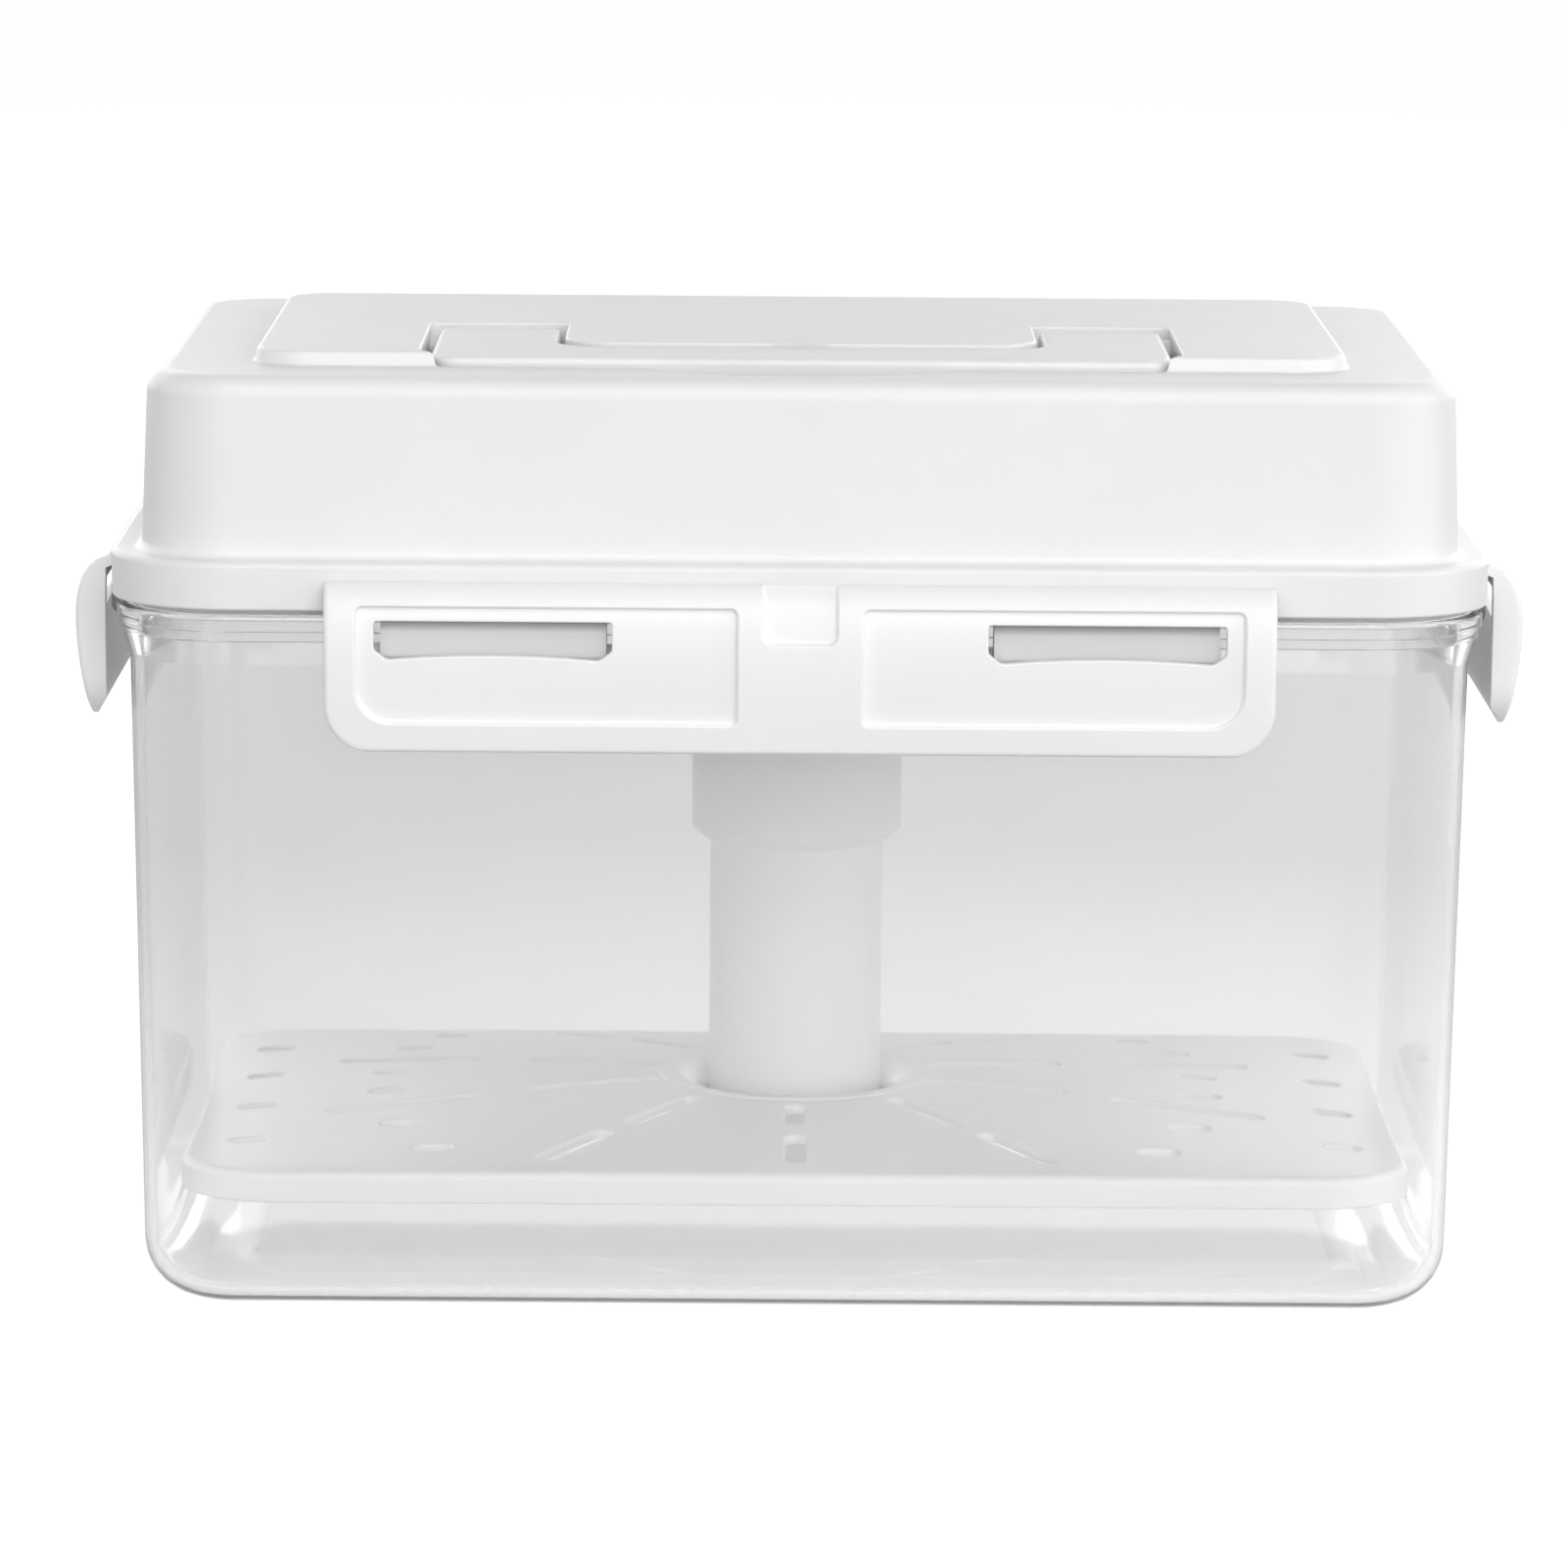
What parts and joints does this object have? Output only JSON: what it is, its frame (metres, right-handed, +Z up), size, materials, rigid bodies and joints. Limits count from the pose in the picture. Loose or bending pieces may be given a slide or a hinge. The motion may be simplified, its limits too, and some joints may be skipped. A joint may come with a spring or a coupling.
{
  "type": "pickle container",
  "caption": "Clear rectangular tub with a white domed lid, snap latches on every side, a fold-flat handle and a spring press plate on a telescopic column.",
  "frame": {"origin": "centre of the face that the tub stands on", "axes": "+Z up, -Y towards the front with the finger scoop of the handle, +X to the right seen from the front"},
  "size_m": [0.2726, 0.1738, 0.1791],
  "materials": {
    "clear_plastic": "clear, glossy",
    "white_plastic": "white, satin gloss",
    "silicone": "matte translucent white",
    "column_plastic": "milky satin",
    "frosted_plastic": "frosted translucent",
    "spring_steel": "bright wire"
  },
  "bodies": {
    "tub": {"tub": "clear_plastic"},
    "lid": {"lid_shell": "white_plastic", "lid_gasket": "silicone", "column_sleeve": "column_plastic", "press_spring": "spring_steel"},
    "front_latch": {"front_latch": "white_plastic"},
    "back_latch": {"back_latch": "white_plastic"},
    "left_latch": {"left_latch": "white_plastic"},
    "right_latch": {"right_latch": "white_plastic"},
    "handle": {"carry_handle": "white_plastic"},
    "plunger": {"press_tube": "column_plastic", "press_plate": "frosted_plastic"}
  },
  "joints": [
    {"name": "lid_lift", "type": "slide", "parent": "tub", "child": "lid", "axis": [0, 0, 1], "range_m": [0, 0.13]},
    {"name": "front_latch_hinge", "type": "hinge", "parent": "lid", "child": "front_latch", "pos_m": [0, -0.08045, 0.1384], "axis": [-1, 0, 0], "range_deg": [0, 110]},
    {"name": "back_latch_hinge", "type": "hinge", "parent": "lid", "child": "back_latch", "pos_m": [0, 0.08045, 0.1384], "axis": [1, 0, 0], "range_deg": [0, 110]},
    {"name": "left_latch_hinge", "type": "hinge", "parent": "lid", "child": "left_latch", "pos_m": [-0.1299, 0, 0.1384], "axis": [0, 1, 0], "range_deg": [0, 110]},
    {"name": "right_latch_hinge", "type": "hinge", "parent": "lid", "child": "right_latch", "pos_m": [0.1299, 0, 0.1384], "axis": [0, -1, 0], "range_deg": [0, 110]},
    {"name": "handle_pivot", "type": "hinge", "parent": "lid", "child": "handle", "pos_m": [0, -0.0062, 0.17415], "axis": [-1, 0, 0], "range_deg": [0, 100]},
    {"name": "press_slide", "type": "slide", "parent": "lid", "child": "plunger", "axis": [0, 0, 1], "range_m": [0, 0.047], "stiffness_N_per_m": 150, "springref_m": -0.04, "deforming": ["press_spring"]}
  ]
}
